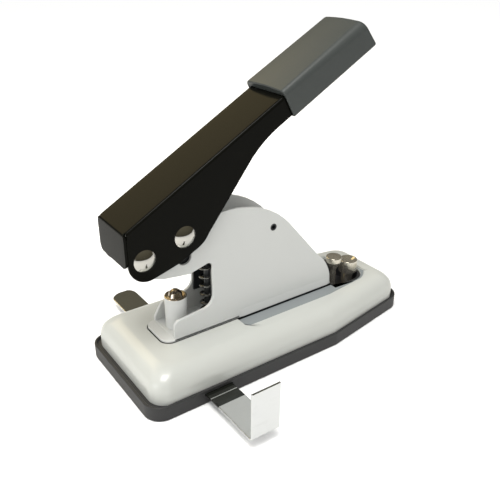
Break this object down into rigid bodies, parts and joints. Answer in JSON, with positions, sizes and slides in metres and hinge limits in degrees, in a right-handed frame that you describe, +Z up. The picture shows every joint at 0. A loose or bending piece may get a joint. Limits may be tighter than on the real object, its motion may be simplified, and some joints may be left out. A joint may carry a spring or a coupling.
{
  "type": "grommet setter",
  "caption": "Bench lever press with a folded frame, sprung ram and fixed die for setting grommets, on a tapered moulded base with a sliding side guide.",
  "frame": {"origin": "on the table plane, directly below the die axis", "axes": "+X towards the rear of the base, away from the open throat; +Y across to the far side; +Z up along the ram's travel"},
  "size_m": [0.1905, 0.1633, 0.1803],
  "materials": {
    "cover_paint": "gloss",
    "frame_paint": "gloss",
    "black_plastic": "satin",
    "lever_paint": "gloss",
    "black_steel": "satin",
    "black_spring": "satin",
    "grip": "satin",
    "chrome": "polished",
    "bright_steel": "polished",
    "zinc": "satin",
    "spring_steel": "satin",
    "nylon": "matte",
    "rubber": "matte"
  },
  "bodies": {
    "base": {"bottom_tray": "black_plastic", "top_cover": "cover_paint", "frame_channel": "frame_paint", "frame_riser": "black_steel", "mounting_plate": "zinc", "frame_screws": "zinc", "tray_screws": "zinc", "rubber_feet": "rubber", "die_post": "bright_steel", "die_nut": "zinc", "guide_rod": "bright_steel", "spring_seat": "zinc", "return_spring": "black_spring", "guide_bracket": "black_steel", "rear_spacer": "zinc", "pivot_washers": "nylon", "guide_blocks": "black_plastic", "friction_leaf": "spring_steel", "tool_well": "black_plastic"},
    "handle": {"handle_lever": "lever_paint", "handle_grip": "grip", "fulcrum_pin": "chrome", "fulcrum_pin_cap": "chrome", "ram_pin": "chrome", "ram_pin_cap": "chrome"},
    "ram": {"ram_block": "black_steel", "setting_punch": "bright_steel", "punch_set_screw": "zinc"},
    "side_guide": {"side_guide": "chrome"},
    "spare_punch": {"spare_punch": "chrome"},
    "spare_die": {"spare_die": "bright_steel"}
  },
  "joints": [
    {"name": "lever_hinge", "type": "hinge", "parent": "base", "child": "handle", "pos_m": [-0.0234, 0, 0.0794], "axis": [0, 1, 0], "range_deg": [0, 30], "stiffness_Nm_per_rad": 0.9, "springref_deg": -20.05},
    {"name": "ram_slide", "type": "slide", "parent": "base", "child": "ram", "axis": [0, 0, -1], "range_m": [0, 0.01235], "deforming": ["return_spring"]},
    {"name": "guide_slide", "type": "slide", "parent": "base", "child": "side_guide", "axis": [0, -1, 0], "range_m": [-0.036, 0.03]},
    {"name": "spare_punch_lift", "type": "slide", "parent": "base", "child": "spare_punch", "axis": [0, 0, 1], "range_m": [0, 0.035]},
    {"name": "spare_die_lift", "type": "slide", "parent": "base", "child": "spare_die", "axis": [0, 0, 1], "range_m": [0, 0.03]}
  ],
  "couplings": [
    {"joint": "ram_slide", "follows": "lever_hinge", "m_per_rad": 0.023496}
  ]
}
